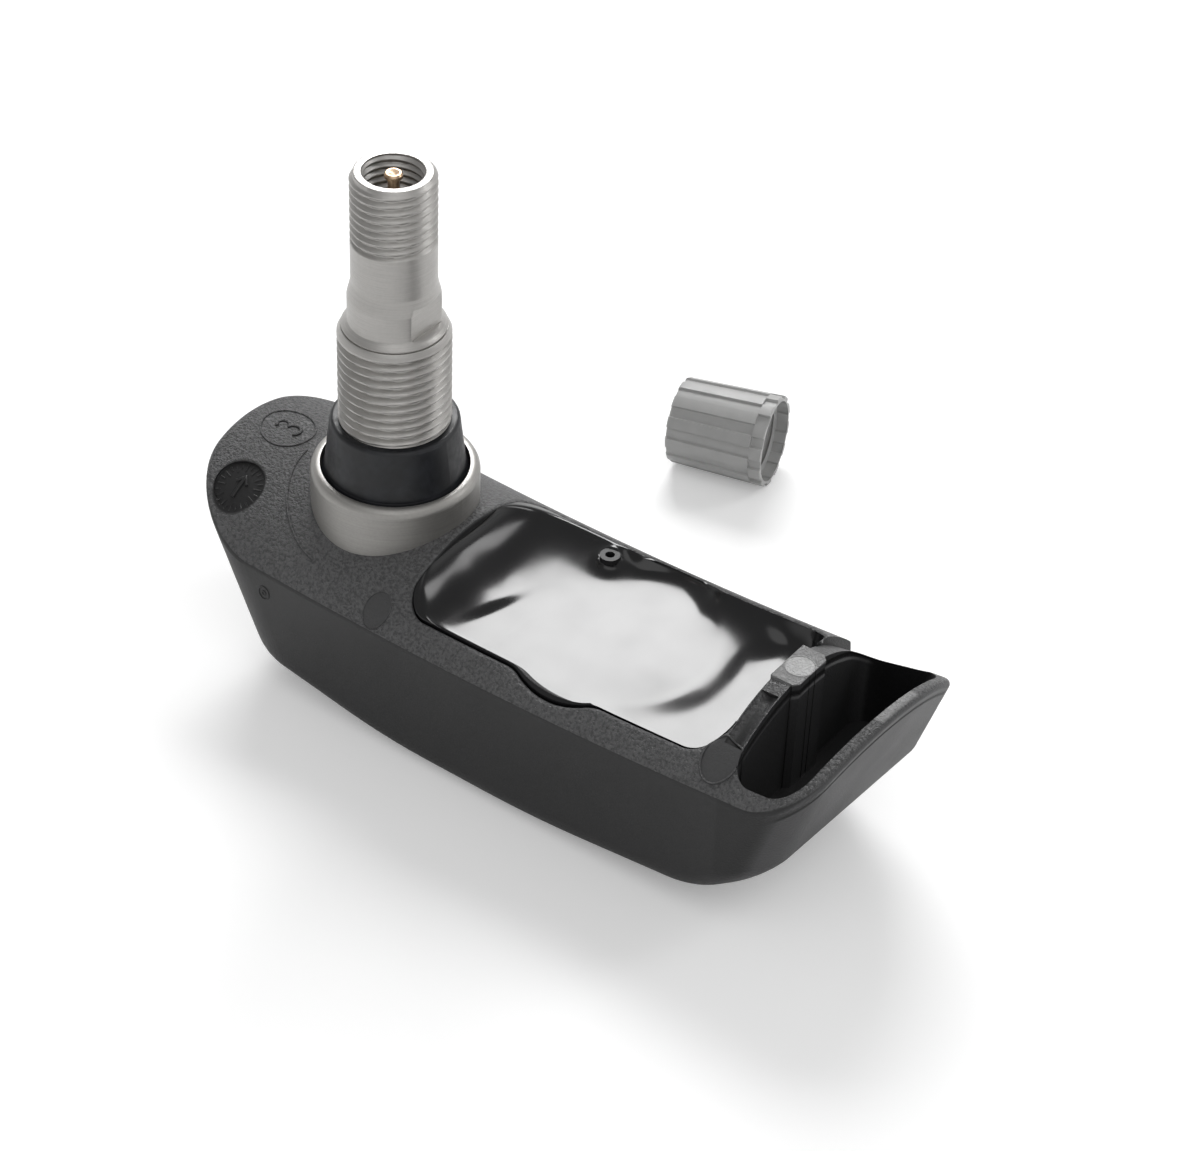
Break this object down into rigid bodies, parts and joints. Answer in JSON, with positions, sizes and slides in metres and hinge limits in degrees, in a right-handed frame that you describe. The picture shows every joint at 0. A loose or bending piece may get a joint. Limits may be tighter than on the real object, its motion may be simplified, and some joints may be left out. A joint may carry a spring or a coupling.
{
  "type": "tyre pressure sensor",
  "caption": "Wheel-mounted tyre pressure sensor: boat-shaped moulded housing with potted electronics, aluminium screw-in valve stem with core and rubber seal, and a loose valve cap.",
  "frame": {"origin": "on the valve axis at the foot of the rim thread, where the stem leaves its rubber seal", "axes": "+Z along the valve axis towards its mouth, +X along the housing towards its nose"},
  "size_m": [0.0722, 0.0613, 0.0533],
  "materials": {
    "housing_plastic": "fine moulded grain",
    "potting": "glossy cast resin",
    "cell_steel": "satin",
    "tab_metal": "satin",
    "port_plastic": "smooth",
    "board": "solder mask",
    "chip_plastic": "moulded",
    "capacitor_ceramic": "fired ceramic",
    "ferrite": "sintered",
    "copper": "enamelled copper wire",
    "collar_aluminium": "fine blasted",
    "stem_aluminium": "turned satin",
    "core_brass": "nickel-plated brass, dulled",
    "pin_brass": "plain turned",
    "spring_steel": "drawn wire",
    "screw_steel": "stainless, satin",
    "seal_rubber": "smooth moulded",
    "cap_plastic": "smooth moulded"
  },
  "bodies": {
    "sensor": {"housing": "housing_plastic", "potting_fill": "potting", "battery_cell": "cell_steel", "battery_tab_base": "tab_metal", "battery_tab_top": "tab_metal", "port_tube": "port_plastic", "circuit_board": "board", "pressure_chip": "chip_plastic", "radio_chip": "chip_plastic", "crystal_can": "tab_metal", "capacitors": "capacitor_ceramic", "coil_core": "ferrite", "coil_winding": "copper", "antenna_loop": "tab_metal", "seat_collar": "collar_aluminium", "seal_grommet": "seal_rubber", "valve_stem": "stem_aluminium", "core_body": "core_brass", "core_ring": "seal_rubber", "core_spring": "spring_steel", "fixing_screw": "screw_steel", "valve_cap": "cap_plastic", "cap_seal": "seal_rubber"},
    "valve_pin": {"core_pin": "pin_brass", "core_plunger": "core_brass", "plunger_disc": "seal_rubber"}
  },
  "joints": [
    {"name": "pin_press", "type": "slide", "parent": "sensor", "child": "valve_pin", "axis": [0, 0, -1], "range_m": [0, 0.001], "stiffness_N_per_m": 600, "springref_m": -0.002, "deforming": ["core_spring"]}
  ]
}
